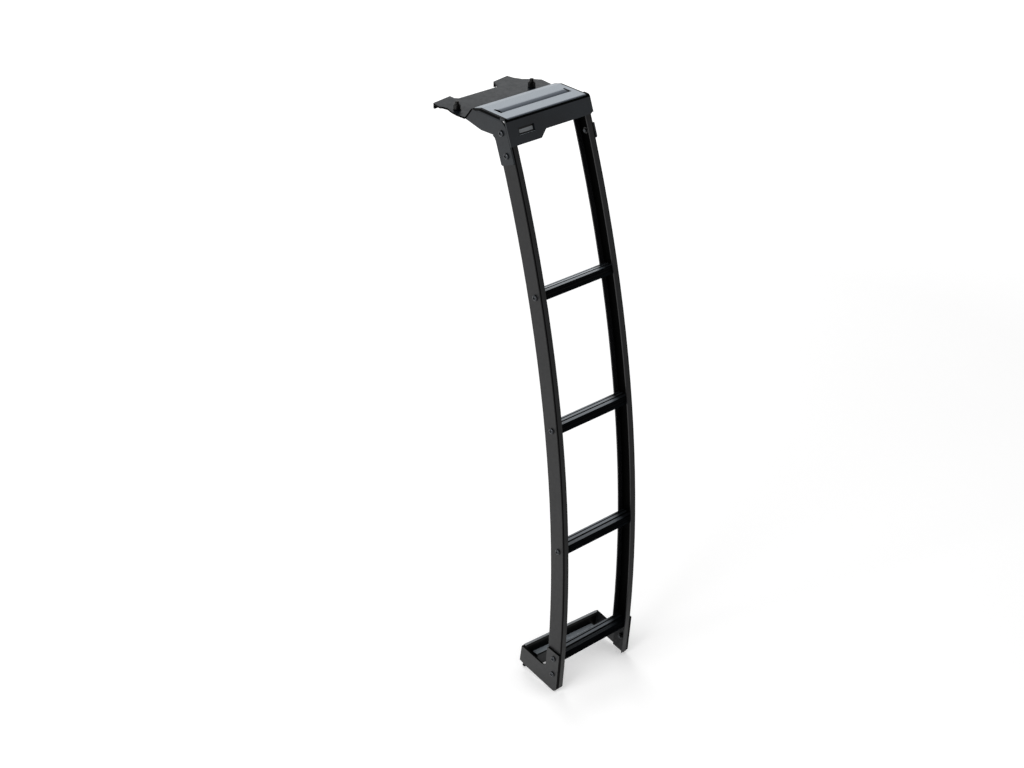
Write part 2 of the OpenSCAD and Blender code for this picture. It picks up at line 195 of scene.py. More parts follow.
def layLightAndShade(tree, shader, place, look, tone, ramp, cover=None, shade=None):
    # lays the ramp's colour, painted light or shade, over the coat where its cover says,
    # with a fine speckle; a painted shade darkens the laid colour and its sheen
    speckle = addNode(tree, "ShaderNodeTexNoise", Vector=(place, "Object"),
                      Scale=perMetre(coatLook["speckleSize"]), Detail=3.0)
    vary = addNode(tree, "ShaderNodeMapRange", Value=(speckle, "Fac"), From_Min=0.3, From_Max=0.7,
                   To_Min=1 - coatLook["speckle"], To_Max=1 + coatLook["speckle"])
    laid = addNode(tree, "ShaderNodeVectorMath", {"operation": "SCALE"},
                   i0=(ramp, "Color"), Scale=(vary, "Result"))
    if shade:
        laid = addNode(tree, "ShaderNodeVectorMath", {"operation": "MULTIPLY"},
                       i0=(laid, "Vector"), i1=shade)
    share = (cover or ramp, "Alpha")
    colour = addNode(tree, "ShaderNodeMix", {"data_type": "RGBA"},
                     i0=share, i6=(tone, "Color"), i7=(laid, "Vector"))
    sheen = addNode(tree, "ShaderNodeMapRange", Value=share,
                    To_Min=look["sheen"], To_Max=look["coverSheen"])
    if shade:
        parts = addNode(tree, "ShaderNodeSeparateXYZ", Vector=shade)
        sheen = addNode(tree, "ShaderNodeMath", {"operation": "MULTIPLY"},
                        i0=(sheen, "Result"), i1=(parts, "X"))
    feed(tree, shader, Base_Color=(colour, 2), Specular_IOR_Level=(sheen, 0))
    return (colour, 2), (sheen, 0)


railLook = {
    "dark": "0b0b0c", "light": "141416", "rough": 0.4, "peel": 0.18,
    "sheen": 0.29, "coverSheen": 0.04,
    "cornerShadeHex": "030303",   # painted shade: near black on the rolled corners, for the dark they mirror
    "cornerShadeWidth": 3.4,      # mm from the outer web face
    "cornerShadeBlur": (0.6, 0.4),   # mm over which the line starts
    "offWeb": [(0.86, "ffffff", 1.0), (0.97, "000000", 0.0)],   # covers all but the web faces
}


def makeRailCoat():
    # satin black powder coat on steel: soft wide sheen and faint orange peel,
    # with black lines painted down each rail on the rolled corners as painted shade
    material, tree, shader, place = newMaterial("SatinPowderCoatRail")
    tone = coatSurface(tree, shader, place, railLook)
    where = addNode(tree, "ShaderNodeSeparateXYZ", Vector=(place, "Object"))
    across = addNode(tree, "ShaderNodeMath", {"operation": "ABSOLUTE"}, i0=(where, "X"))
    offWeb = rampOf(tree, turnedSideways(tree), 0.0, 1.0, railLook["offWeb"])
    edge = arc["webX"] - railLook["cornerShadeWidth"] * mm
    before, after = railLook["cornerShadeBlur"]
    nearEdge = rampOf(tree, (across, 0), edge - 3 * mm, edge + 2 * mm,
                      [(edge - before * mm, "000000", 0.0), (edge + after * mm, "ffffff", 1.0)])
    dark = addNode(tree, "ShaderNodeMath", {"operation": "MULTIPLY"},
                   i0=(offWeb, "Alpha"), i1=(nearEdge, "Alpha"))
    corner = rampOf(tree, (dark, 0), 0.0, 1.0,
                    [(0.0, railLook["cornerShadeHex"], 0.0), (1.0, railLook["cornerShadeHex"], 1.0)])
    layLightAndShade(tree, shader, place, railLook, tone, corner)
    return material


channelShadeLook = {
    "dark": "0e0f10", "light": "1b1c1e", "rough": 0.6, "peel": 0.3,
    "sheen": 0.3, "coverSheen": 0.02,
    "shadeAbove": [(-1.236, "010101", 0.0), (-1.226, "010101", 1.0)],   # metres up
}


def makeChannelShade():
    # painted shade inside the channel: near black with hardly any sheen; below
    # the lowest tread the channel is open and takes the full coat again
    material, tree, shader, place = newMaterial("PaintedShadeChannel")
    tone = coatSurface(tree, shader, place, channelShadeLook)
    where = addNode(tree, "ShaderNodeSeparateXYZ", Vector=(place, "Object"))
    dull = rampOf(tree, (where, "Z"), -1.26, -1.20, channelShadeLook["shadeAbove"])
    layLightAndShade(tree, shader, place, channelShadeLook, tone, dull)
    return material


treadLook = {
    "dark": "050608", "light": "0d0f11", "toneSpan": (0.5, 0.95),
    "sheen": 0.18, "coverSheen": 0.5, "gloss": (0.2, 0.34),
    "lineLength": 60, "lineSize": 0.8,   # mm, real draw lines are finer and would not show
    "cloudSize": 50, "lineDepth": 0.3,   # mm
    "facing": (0.0, 0.5, 1.0),
    # painted sheen: the ribs' colour goes by how far they face up and back
    "ribs": [(0.84, "0c0e10", 0.0), (0.93, "2c3135", 1.0), (0.965, "50565c", 1.0),
             (1.02, "636a71", 1.0), (1.06, "727a81", 1.0), (1.09, "929ba3", 1.0)],
    # painted shade: dark bands along the tread, metres from the rails' bolt line towards the vehicle
    "bands": [(-0.0071, "000000", 1.0), (-0.0063, "ffffff", 1.0), (0.0013, "ffffff", 1.0),
              (0.0017, "101010", 1.0), (0.0061, "101010", 1.0), (0.0065, "ffffff", 1.0),
              (0.0133, "ffffff", 1.0), (0.0139, "a0a0a0", 1.0), (0.0167, "a0a0a0", 1.0),
              (0.0173, "ffffff", 1.0)],
    # painted reflection: the tread's right end is darkened where it mirrors the dark rail
    "endFade": [(0.058, "ffffff", 1.0), (0.084, "4c4c4c", 1.0)],
}


def makeTreadCoat():
    # black anodised aluminium extrusion: fine draw lines along the tread; a pale blue
    # sheen is painted on the ribs on top by how they face, and the front face stays deep black
    material, tree, shader, place = newMaterial("BlackAnodisedTread")
    look = treadLook
    thin = perMetre(look["lineSize"])
    stretch = addNode(tree, "ShaderNodeMapping", Vector=(place, "Object"),
                      Scale=(perMetre(look["lineLength"]), thin, thin))
    lines = addNode(tree, "ShaderNodeTexNoise", Vector=(stretch, "Vector"), Scale=1.0, Detail=3.0)
    cloud = addNode(tree, "ShaderNodeTexNoise", Vector=(place, "Object"),
                    Scale=perMetre(look["cloudSize"]), Detail=3.0)
    blend = addNode(tree, "ShaderNodeMath", {"operation": "MULTIPLY_ADD"},
                    i0=(lines, "Fac"), i1=0.5, i2=(cloud, "Fac"))
    darkAt, lightAt = look["toneSpan"]
    tone = rampOf(tree, (blend, 0), 0.0, 1.0, [(darkAt, look["dark"], 1.0), (lightAt, look["light"], 1.0)])
    glossy, dull = look["gloss"]
    gloss = addNode(tree, "ShaderNodeMapRange", Value=(lines, "Fac"), To_Min=glossy, To_Max=dull)
    bump = addNode(tree, "ShaderNodeBump", Height=(lines, "Fac"), Strength=0.12,
                   Distance=look["lineDepth"] * mm)
    feed(tree, shader, Roughness=(gloss, "Result"), Normal=(bump, "Normal"), IOR=coatLook["ior"])
    ribs = rampOf(tree, turnedTowards(tree, look["facing"]), 0.7, 1.13, look["ribs"])
    # the painted shade bands run along the tread, so they follow the distance from the rails' own middle
    flat = addNode(tree, "ShaderNodeVectorMath", {"operation": "MULTIPLY"},
                   i0=(place, "Object"), i1=(0.0, 1.0, 1.0))
    reach = addNode(tree, "ShaderNodeVectorMath", {"operation": "DISTANCE"},
                    i0=(flat, "Vector"), i1=(0.0, arc["y"], arc["z"]))
    inward = addNode(tree, "ShaderNodeMath", {"operation": "SUBTRACT"},
                     i0=arc["radius"], i1=(reach, "Value"))
    bands = rampOf(tree, (inward, 0), -0.02, 0.02, look["bands"])
    where = addNode(tree, "ShaderNodeSeparateXYZ", Vector=(place, "Object"))
    ends = rampOf(tree, (where, "X"), 0.0, 0.1, look["endFade"])
    shade = addNode(tree, "ShaderNodeVectorMath", {"operation": "MULTIPLY"},
                    i0=(bands, "Color"), i1=(ends, "Color"))
    layLightAndShade(tree, shader, place, look, tone, ribs, shade=(shade, "Vector"))
    return material


grooveLook = {"dark": "020203", "light": "060607", "rough": 0.6, "peel": 0.1, "sheen": 0.1}


def makeTreadGroove():
    # painted shade: the grooves between the ribs take a darker, matte coat with little sheen
    material, tree, shader, place = newMaterial("PaintedShadeGroove")
    coatSurface(tree, shader, place, grooveLook)
    feed(tree, shader, Specular_IOR_Level=grooveLook["sheen"])
    return material


bracketLook = {
    "dark": "0c0d0e", "light": "151618", "rough": 0.36, "peel": 0.22,
    "sheen": 0.36, "coverSheen": 0.03,
    "facing": (0.0, -1.0, 0.45),
    # painted shade: faces turned away from the front and up are painted black
    "inside": [(0.12, "020202", 0.0), (0.3, "020202", 1.0)],
}


def makeBracketCoat():
    # satin black powder coat on folded sheet, from the same tin as the rails; the
    # inside of the fold and the cut edges are painted black as painted shade
    material, tree, shader, place = newMaterial("SatinPowderCoatSheet")
    tone = coatSurface(tree, shader, place, bracketLook)
    inside = rampOf(tree, turnedTowards(tree, bracketLook["facing"]), -1.1, 1.1, bracketLook["inside"])
    layLightAndShade(tree, shader, place, bracketLook, tone, inside)
    return material


ledgeLook = {
    "dark": "1b1c1e", "light": "2b2d2f", "rough": 0.36, "peel": 0.22,
    "sheen": 0.3, "coverSheen": 0.2,
    # painted light on the level ledge, painted shade on the bend
    "level": [(0.2, "020202", 0.0), (0.3, "020202", 1.0), (0.93, "020202", 1.0), (0.98, "8f969c", 1.0)],
}


def makeLedgeCoat():
    # stiffening angle: its level ledge is painted pale as painted light, its bend painted black as painted
    # shade
    material, tree, shader, place = newMaterial("SatinPowderCoatLedge")
    tone = coatSurface(tree, shader, place, ledgeLook)
    ledge = rampOf(tree, turnedTowards(tree, upwards), -1.0, 1.01, ledgeLook["level"])
    layLightAndShade(tree, shader, place, ledgeLook, tone, ledge)
    return material


clampLook = {
    "dark": "0b1015", "light": "141a20", "rough": 0.36, "peel": 0.2,
    "sheen": 0.29, "coverSheen": 0.03, "tint": "f0f8ff",
    # painted shade: upright and slanting faces, the cut edges and hooks, are painted black
    "edges": [(-0.6, "020202", 0.0), (-0.4, "020202", 1.0), (0.75, "020202", 1.0), (0.92, "020202", 0.0)],
    "sheenShadeLeft": [(-0.118, "c8c8c8", 1.0), (-0.02, "ffffff", 1.0)],   # painted shade: less sheen towards the left hook
}


def makeClampCoat():
    # satin black powder coat on flat plate: lies level, so it shows more of the
    # sky; its cut edges and hooks are painted black, and its sheen is turned down towards the left, as painted
    # shade
    material, tree, shader, place = newMaterial("SatinPowderCoatPlate")
    tone = coatSurface(tree, shader, place, clampLook)
    edges = rampOf(tree, turnedTowards(tree, upwards), -1.0, 1.0, clampLook["edges"])
    where = addNode(tree, "ShaderNodeSeparateXYZ", Vector=(place, "Object"))
    fade = rampOf(tree, (where, "X"), -0.12, 0.15, clampLook["sheenShadeLeft"])
    layLightAndShade(tree, shader, place, clampLook, tone, edges, shade=(fade, "Color"))
    feed(tree, shader, Specular_Tint=linearColour(clampLook["tint"]))
    return material


stepLook = {
    "dark": "0b0f14", "light": "151b21", "rough": 0.36, "peel": 0.22,
    "sheen": 0.36, "coverSheen": 0.04,
    "facing": (0.0, 0.15, 1.0),
    "sideLess": 0.4,         # bends over the cheeks turn pale later
    "level": [               # how level a face is, and the painted light or shade on it
        (0.24, "020303", 0.0), (0.3, "020303", 1.0), (0.8, "020303", 1.0),
        (0.855, "4f545b", 1.0), (0.965, "6a7078", 1.0), (0.985, "8b929a", 1.0), (0.998, "aab1b8", 1.0),
    ],
    "coverSideLess": 0.15,   # and the cover starts sooner there than the colour does
    "cover": [(0.24, "000000", 0.0), (0.3, "000000", 1.0)],
    "paleHalf": 0.1055,      # metres, the pale face ends at the cheeks' bends
    "pastPale": 0.25,        # how much less level a face counts beyond that
    "foldFrom": (0.0, -0.0614, 0.0278),   # rear fold line of the cheeks, from the part's source
    "foldAcross": (0.0, 0.769, 0.640),
    "foldWidth": 3.5, "foldBlur": 0.5,    # mm of painted shade along it
    # painted shade: black wedge at the tongue's left end, metres: a slanting line, and the
    # middle and reach of the box it stays in
    "wedgeAcross": (1.0, 0.3, 0.0), "wedgeBelow": -0.1229,
    "wedgeX": (-0.0890, 0.0060), "wedgeY": (-0.1220, 0.0115),
    "lineHex": "010101",
}


def makeStepCoat():
    # folded step: black powder coat; the level upper face is painted pale and the tongue grey as
    # painted light, and the bends painted black as painted shade
    material, tree, shader, place = newMaterial("SatinPowderCoatStep")
    look = stepLook
    tone = coatSurface(tree, shader, place, look)
    where = addNode(tree, "ShaderNodeSeparateXYZ", Vector=(place, "Object"))
    aside = addNode(tree, "ShaderNodeMath", {"operation": "ABSOLUTE"}, i0=(where, "X"))
    aside = addNode(tree, "ShaderNodeMath", {"operation": "GREATER_THAN"}, i0=(aside, 0), i1=look["paleHalf"])
    level = addNode(tree, "ShaderNodeMath", {"operation": "MULTIPLY_ADD"}, i0=(aside, 0), i1=-look["pastPale"],
                    i2=turnedTowards(tree, look["facing"], look["sideLess"]))
    upper = rampOf(tree, (level, 0), -1.3, 1.02, look["level"])
    bent = turnedTowards(tree, look["facing"], look["coverSideLess"])
    cover = rampOf(tree, bent, -1.3, 1.3, look["cover"])
    painted, sheen = layLightAndShade(tree, shader, place, look, tone, upper, cover=cover)
    # painted shade: black line where the cheeks turn to the rear wall
    away = addNode(tree, "ShaderNodeVectorMath", {"operation": "SUBTRACT"},
                   i0=(place, "Object"), i1=look["foldFrom"])
    past = addNode(tree, "ShaderNodeVectorMath", {"operation": "DOT_PRODUCT"},
                   i0=(away, "Vector"), i1=look["foldAcross"])
    width = look["foldWidth"] * mm
    onFold = rampOf(tree, (past, "Value"), -0.01, 0.01,
                    [(-width - look["foldBlur"] * mm, "000000", 0.0), (-width, "000000", 1.0)])
    line = addNode(tree, "ShaderNodeMath", {"operation": "MULTIPLY"},
                   i0=turnedSideways(tree), i1=(onFold, "Alpha"))
    # painted shade: the black wedge at the tongue's left end
    slant = addNode(tree, "ShaderNodeVectorMath", {"operation": "DOT_PRODUCT"},
                    i0=(place, "Object"), i1=look["wedgeAcross"])
    wedge = addNode(tree, "ShaderNodeMath", {"operation": "LESS_THAN"},
                    i0=(slant, "Value"), i1=look["wedgeBelow"])
    for axis, (middle, reach) in (("X", look["wedgeX"]), ("Y", look["wedgeY"])):
        within = addNode(tree, "ShaderNodeMath", {"operation": "COMPARE"},
                         i0=(where, axis), i1=middle, i2=reach)
        wedge = addNode(tree, "ShaderNodeMath", {"operation": "MULTIPLY"}, i0=(wedge, 0), i1=(within, 0))
    line = addNode(tree, "ShaderNodeMath", {"operation": "MAXIMUM"}, i0=(line, 0), i1=(wedge, 0))
    # both are painted shade: black, with the sheen taken away
    colour = addNode(tree, "ShaderNodeMix", {"data_type": "RGBA"},
                     i0=(line, 0), i6=painted, i7=linearColour(look["lineHex"]))
    bare = addNode(tree, "ShaderNodeMath", {"operation": "SUBTRACT"}, i0=1.0, i1=(line, 0))
    dulled = addNode(tree, "ShaderNodeMath", {"operation": "MULTIPLY"}, i0=(bare, 0), i1=sheen)
    feed(tree, shader, Base_Color=(colour, 2), Specular_IOR_Level=(dulled, 0))
    return material


rubberLook = {
    "dark": "0b0b0c", "light": "141415", "rough": 0.62, "peel": 0.3, "ior": 1.52,
    "sheen": 0.15, "coverSheen": 0.3,
    # painted light on the top faces
    "topLight": [(0.7, "76797c", 0.0), (0.93, "7d8083", 1.0)],
}


def makeRubber():
    # extruded edge rubber: matte black, with its top painted pale as painted light
    material, tree, shader, place = newMaterial("ExtrudedRubber")
    tone = coatSurface(tree, shader, place, rubberLook)
    topLight = rampOf(tree, turnedTowards(tree, upwards), -1.0, 1.0, rubberLook["topLight"])
    layLightAndShade(tree, shader, place, rubberLook, tone, topLight)
    return material


# button heads in black zinc with a clear metal glint; nuts and studs in dull black oxide
zincLook = {"dark": "303235", "light": "4c4e51", "metallic": 0.95, "gloss": (0.16, 0.34), "sheen": 0.5}
oxideLook = {"dark": "030303", "light": "0a0a0b", "metallic": 0.0, "gloss": (0.22, 0.4), "sheen": 0.3}
metalLook = {"cloudSize": 3, "grainSize": 0.5, "grainDepth": 0.2}   # mm


def makeMetal(name, look):
    # plated steel: cloudy tone, fine grain and an uneven gloss
    material, tree, shader, place = newMaterial(name)
    cloud = addNode(tree, "ShaderNodeTexNoise", Vector=(place, "Object"),
                    Scale=perMetre(metalLook["cloudSize"]), Detail=4.0)
    tone = rampOf(tree, (cloud, "Fac"), 0.0, 1.0, [(0.0, look["dark"], 1.0), (1.0, look["light"], 1.0)])
    glossy, dull = look["gloss"]
    gloss = addNode(tree, "ShaderNodeMapRange", Value=(cloud, "Fac"), To_Min=glossy, To_Max=dull)
    grain = addNode(tree, "ShaderNodeTexNoise", Vector=(place, "Object"),
                    Scale=perMetre(metalLook["grainSize"]), Detail=2.0)
    bump = addNode(tree, "ShaderNodeBump", Height=(grain, "Fac"), Strength=0.15,
                   Distance=metalLook["grainDepth"] * mm)
    feed(tree, shader, Base_Color=(tone, "Color"), Metallic=look["metallic"],
         Specular_IOR_Level=look["sheen"], Roughness=(gloss, "Result"), Normal=(bump, "Normal"))
    return material


plateLook = {
    "dark": "4a4d50", "light": "8a8d90", "frameHex": "020202", "rough": 0.42, "sheen": 0.3,
    "brushLength": 20, "brushSize": 0.5, "brushDepth": 0.2,   # mm
    "middle": (-0.0645, -0.1789, 0.0070),   # middle of the bright field: a little above the window's
    "up": (0.0, 0.3502, 0.9367),
    "halfWidth": 17.6, "halfHeight": 3.7,   # mm of the bright field, the rest is a black frame
}


def makeNamePlate():
    # blank plate behind the apron window: brushed grey field in a black frame
    material, tree, shader, place = newMaterial("BlankNamePlate")
    look = plateLook
    thin = perMetre(look["brushSize"])
    stretch = addNode(tree, "ShaderNodeMapping", Vector=(place, "Object"),
                      Scale=(perMetre(look["brushLength"]), thin, thin))
    lines = addNode(tree, "ShaderNodeTexNoise", Vector=(stretch, "Vector"), Scale=1.0, Detail=2.0)
    tone = rampOf(tree, (lines, "Fac"), 0.0, 1.0, [(0.0, look["dark"], 1.0), (1.0, look["light"], 1.0)])
    away = addNode(tree, "ShaderNodeVectorMath", {"operation": "SUBTRACT"},
                   i0=(place, "Object"), i1=look["middle"])
    height = addNode(tree, "ShaderNodeVectorMath", {"operation": "DOT_PRODUCT"},
                     i0=(away, "Vector"), i1=look["up"])
    parts = addNode(tree, "ShaderNodeSeparateXYZ", Vector=(away, "Vector"))
    inside = []
    for source, half in (((parts, "X"), look["halfWidth"]), ((height, "Value"), look["halfHeight"])):
        far = addNode(tree, "ShaderNodeMath", {"operation": "ABSOLUTE"}, i0=source)
        inside.append(addNode(tree, "ShaderNodeMath", {"operation": "LESS_THAN"}, i0=(far, 0), i1=half * mm))
    field = addNode(tree, "ShaderNodeMath", {"operation": "MULTIPLY"}, i0=(inside[0], 0), i1=(inside[1], 0))
    colour = addNode(tree, "ShaderNodeMix", {"data_type": "RGBA"},
                     i0=(field, 0), i6=linearColour(look["frameHex"]), i7=(tone, "Color"))
    bump = addNode(tree, "ShaderNodeBump", Height=(lines, "Fac"), Strength=0.1,
                   Distance=look["brushDepth"] * mm)
    feed(tree, shader, Base_Color=(colour, 2), Roughness=look["rough"],
         Specular_IOR_Level=look["sheen"], Normal=(bump, "Normal"))
    return material


railCoat = makeRailCoat()
channelShade = makeChannelShade()
treadCoat = makeTreadCoat()
treadGroove = makeTreadGroove()
clampCoat = makeClampCoat()
zinc = makeMetal("BlackZincSteel", zincLook)
oxide = makeMetal("BlackOxideSteel", oxideLook)
print("materials made")


# CAD nodes: finish and softened edges

nodeFinish = {   # node: (material, width of its softened edges in mm)
    "left_rail": (railCoat, 0.5), "right_rail": (railCoat, 0.5),
    "rung_1": (treadCoat, 0.35), "rung_2": (treadCoat, 0.35),
    "rung_3": (treadCoat, 0.35), "rung_4": (treadCoat, 0.35),
    "top_step": (makeStepCoat(), 0.6), "badge_plate": (makeNamePlate(), 0.3),
    "clamp_plate": (clampCoat, 0.6),
    "clamp_stud_left": (oxide, 0.2), "clamp_stud_right": (oxide, 0.2),
    "clamp_washer_left": (oxide, 0.2), "clamp_washer_right": (oxide, 0.2),
    "clamp_nut_left": (oxide, 0.3), "clamp_nut_right": (oxide, 0.3),
    "lower_bracket": (makeBracketCoat(), 0.6), "stiffener": (makeLedgeCoat(), 0.5),
    "edge_trim": (makeRubber(), 0.7),
}


def softenEdges(piece, width):
    bevel = piece.modifiers.new("softEdges", "BEVEL")
    bevel.width = width * mm
    bevel.segments = 2
    bevel.limit_method = "ANGLE"
    bevel.angle_limit = math.radians(28)
    weighted = piece.modifiers.new("evenNormals", "WEIGHTED_NORMAL")
    weighted.weight = 80


for name, (material, edge) in nodeFinish.items():
    piece = nodes[name]
    piece.data.materials.clear()
    piece.data.materials.append(material)
    for face in piece.data.polygons:
        face.use_smooth = True
    softenEdges(piece, edge)

# the inside faces of the two channels take the painted shade
channelDepth = 5.0   # mm from the outer web face, more than the web's own thickness
for name in ("left_rail", "right_rail"):
    piece = nodes[name]
    piece.data.materials.append(channelShade)
    lo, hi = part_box(name)
    side = 1 if (lo[0] + hi[0]) > 0 else -1
    webFace = hi[0] if side > 0 else lo[0]
    for face in piece.data.polygons:
        inward = face.normal.x * side < -0.9
        deep = abs(webFace - face.center.x) < channelDepth * mm
        if inward and deep:
            face.material_index = 1

# the grooves of the treads, found in each tread's own section, take the painted shade
grooveCut = {
    "lean": (13.759, 7.898, 2.036, -3.825),   # degrees, from the part's source
    "below": (0.5, 2.2), "floor": 1.6,        # mm under the top
    "behind": (5.0, 20.0),                    # mm in front of the rear edge
    "front": (0.5, 2.5), "frontBelow": 3.0,   # mm behind the front face and under the top
}
for count, lean in enumerate(grooveCut["lean"]):
    piece = nodes["rung_%d" % (count + 1)]
    piece.data.materials.append(treadGroove)
    turn = Matrix.Rotation(math.radians(lean), 3, "X")
    points = [turn @ vertex.co for vertex in piece.data.vertices]
    rear, front = max(q.y for q in points), min(q.y for q in points)
    top = max(q.z for q in points)
    for face in piece.data.polygons:
        spot = turn @ face.center
        faces = turn @ face.normal
        down, back, ahead = (top - spot.z) / mm, (rear - spot.y) / mm, (spot.y - front) / mm
        onTop = grooveCut["below"][0] < down < grooveCut["below"][1]
        onTop = onTop and grooveCut["behind"][0] < back < grooveCut["behind"][1]
        inTop = onTop and (faces.z > 0.9 and down > grooveCut["floor"] or abs(faces.y) > 0.9)
        inFront = grooveCut["front"][0] < ahead < grooveCut["front"][1] and down > grooveCut["frontBelow"]
        if inTop or inFront and faces.x ** 2 < 0.5:
            face.material_index = 1
print("nodes finished")


# fasteners

boltLook = {
    "headRadius": 7.0,     # M8 button head
    "headHeight": 4.4,
    "rim": 0.7,            # straight part under the dome
    "flatRadius": 3.5,     # level top round the socket
    "socket": 5.0,         # across flats
    "socketDepth": 2.6,
    "shankRadius": 4.0,
    "domeSteps": 6, "domeStep": 12,   # degrees
    "domeTurn": 0.86, "domeIn": (0.99, 0.05),   # how soon the dome falls away at its rim
    "tip": (0.6, 0.8),     # chamfer of the shank's end, in and up
    "socketEdge": 0.25,
    "socketCone": (0.4, 0.8),   # radius and depth of the drill point under the socket
    "segments": 36,
    "treadShank": 15, "cheekShank": 17,
}
nutLook = {"flats": 13.0, "height": 6.5, "bore": 4.0, "chamfer": 0.9}
nutEdge = {   # mm, the same on every nut
    "seatIn": 0.2, "seatUp": 0.3,            # round the bore at the seat
    "cornerOver": 0.35, "cornerDrop": 0.15,  # where the chamfer cuts the corners
    "collarIn": 0.7, "collarFoot": 0.1, "collarCut": 0.4,
    "mouth": 0.6, "depth": 2.0, "segments": 48,
}


def hexRadius(angle, flats):
    a = (angle + math.pi / 6) % (math.pi / 3) - math.pi / 6
    return flats / 2 / math.cos(a)


def ringMesh(name, rings, segments):
    # rings: list of (radius or function of the angle, height), in millimetres, about +Z
    bm = bmesh.new()
    rows = []
    for radius, z in rings:
        row = []
        for i in range(segments):
            a = 2 * math.pi * i / segments
            r = radius(a) if callable(radius) else radius
            row.append(bm.verts.new((r * math.cos(a) * mm, r * math.sin(a) * mm, z * mm)))
        rows.append(row)
    for low, high in zip(rows, rows[1:]):
        for i in range(segments):
            j = (i + 1) % segments
            bm.faces.new((low[i], low[j], high[j], high[i]))
    bm.faces.new(list(reversed(rows[0])))
    bm.faces.new(rows[-1])
    bmesh.ops.recalc_face_normals(bm, faces=bm.faces)
    mesh = bpy.data.meshes.new(name)
    bm.to_mesh(mesh)
    bm.free()
    return mesh


def smoothByAngle(mesh, degrees=32):
    # flat across sharp edges, smooth elsewhere
    bm = bmesh.new()
    bm.from_mesh(mesh)
    for face in bm.faces:
        face.smooth = True
    for edge in bm.edges:
        if len(edge.link_faces) == 2 and edge.calc_face_angle() > math.radians(degrees):
            edge.smooth = False
    bm.to_mesh(mesh)
    bm.free()


def boltMesh(name, shank):
    # button head with a hex socket, its seat at z = 0 and the shank below
    top, rim = boltLook["headHeight"], boltLook["rim"]
    head, rod = boltLook["headRadius"], boltLook["shankRadius"]
    tipIn, tipUp = boltLook["tip"]
    scale, extra = boltLook["domeIn"]
    edge, floor = boltLook["socketEdge"], top - boltLook["socketDepth"]
    point, drop = boltLook["socketCone"]

    def socket(a):
        return hexRadius(a, boltLook["socket"])

    def socketMouth(a):
        return socket(a) + edge

    rings = [(rod - tipIn, -shank), (rod, -shank + tipUp), (rod, 0.0), (head, 0.0), (head, rim)]
    whole = math.sin(math.radians(boltLook["domeSteps"] * boltLook["domeStep"]))
    for step in range(1, boltLook["domeSteps"] + 1):
        t = math.radians(boltLook["domeStep"] * step)
        rings.append((head * math.cos(t * boltLook["domeTurn"]) * scale + extra,
                      rim + (top - rim) * math.sin(t) / whole))
    rings += [(boltLook["flatRadius"], top), (socketMouth, top), (socket, top - edge),
              (socket, floor), (point, floor - drop)]
    mesh = ringMesh(name, rings, boltLook["segments"])
    smoothByAngle(mesh)
    return mesh


def nutMesh(name, nut):
    # hex nut with chamfered faces, its seat at z = 0; a collar makes it a lock nut
    r, bore, top = nut["flats"] / 2, nut["bore"], nut["height"]
    inset, drop = nutEdge["seatIn"], nutEdge["cornerDrop"]
    collarIn, cut, mouth = nutEdge["collarIn"], nutEdge["collarCut"], nutEdge["mouth"]

    def hexa(a):
        return hexRadius(a, nut["flats"])

    def trimmed(a):
        return min(hexa(a), r + nutEdge["cornerOver"])

    rings = [(bore + inset, nutEdge["seatUp"]), (r - inset, 0.0), (trimmed, drop), (hexa, nut["chamfer"]),
             (hexa, top - nut["chamfer"]), (trimmed, top - drop), (r - inset, top)]
    if "collar" in nut:
        rings += [(r - collarIn, top + nutEdge["collarFoot"]), (r - collarIn, top + nut["collar"] - cut),
                  (r - collarIn - cut, top + nut["collar"])]
        top += nut["collar"]
    rings += [(bore + mouth, top), (bore, top - mouth), (bore, top - nutEdge["depth"])]
    mesh = ringMesh(name, rings, nutEdge["segments"])
    smoothByAngle(mesh, 20)
    return mesh


def washerMesh(name, washer):
    # flat ring with broken edges
    bore, out, cut = washer["bore"], washer["radius"], washer["broken"]
    low, high = washer["low"], washer["high"]
    rings = [(bore, low + cut), (out - cut, low), (out, low + cut),
             (out, high - cut), (out - cut, high), (bore, high)]
    mesh = ringMesh(name, rings, washer["segments"])
    smoothByAngle(mesh)
    return mesh


def threadMesh(name, stud):
    # rod with a real helical thread; both ends run out into a chamfer
    low, high, pitch = stud["low"], stud["high"], stud["pitch"]
    count = int((high - low) / pitch * stud["steps"])
    rings = []
    for k in range(count + 1):
        z = low + (high - low) * k / count
        fade = max(0.0, min(1.0, min(z - low, high - z) / stud["runOut"]))

        def wave(a, z=z, fade=fade):
            t = (z / pitch - a / (2 * math.pi)) % 1.0
            tooth = abs(2 * t - 1)
            return stud["radius"] - stud["depth"] * (1 - tooth) - (1 - fade) * (1 - fade)
        rings.append((wave, z))
    mesh = ringMesh(name, rings, stud["segments"])
    for face in mesh.polygons:
        face.use_smooth = len(face.vertices) == 4
    return mesh


def placePiece(name, mesh, material, matrix):
    piece = bpy.data.objects.new(name, mesh)
    scene.collection.objects.link(piece)
    piece.matrix_world = matrix
    if not mesh.materials:
        mesh.materials.append(material)
    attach(piece, "root")
    return piece


def onArc(length):
    # point on the bolt line this far below the upper top bolt
    a = math.radians(arc["topLean"]) - length / arc["radius"]
    return Vector((0, arc["y"] - arc["radius"] * math.cos(a), arc["z"] + arc["radius"] * math.sin(a)))


def sideMatrix(side, x, point, outwards, spin):
    # seat at x on one side, with +Z of the piece pointing away from the ladder or into it
    turn = Matrix.Rotation(outwards * side * math.pi / 2, 4, "Y") @ Matrix.Rotation(spin, 4, "Z")
    return Matrix.Translation((side * x, point.y, point.z)) @ turn


treadBolt = boltMesh("treadBolt", boltLook["treadShank"])
cheekBolt = boltMesh("cheekBolt", boltLook["cheekShank"])
nutShape = nutMesh("cheekNut", nutLook)

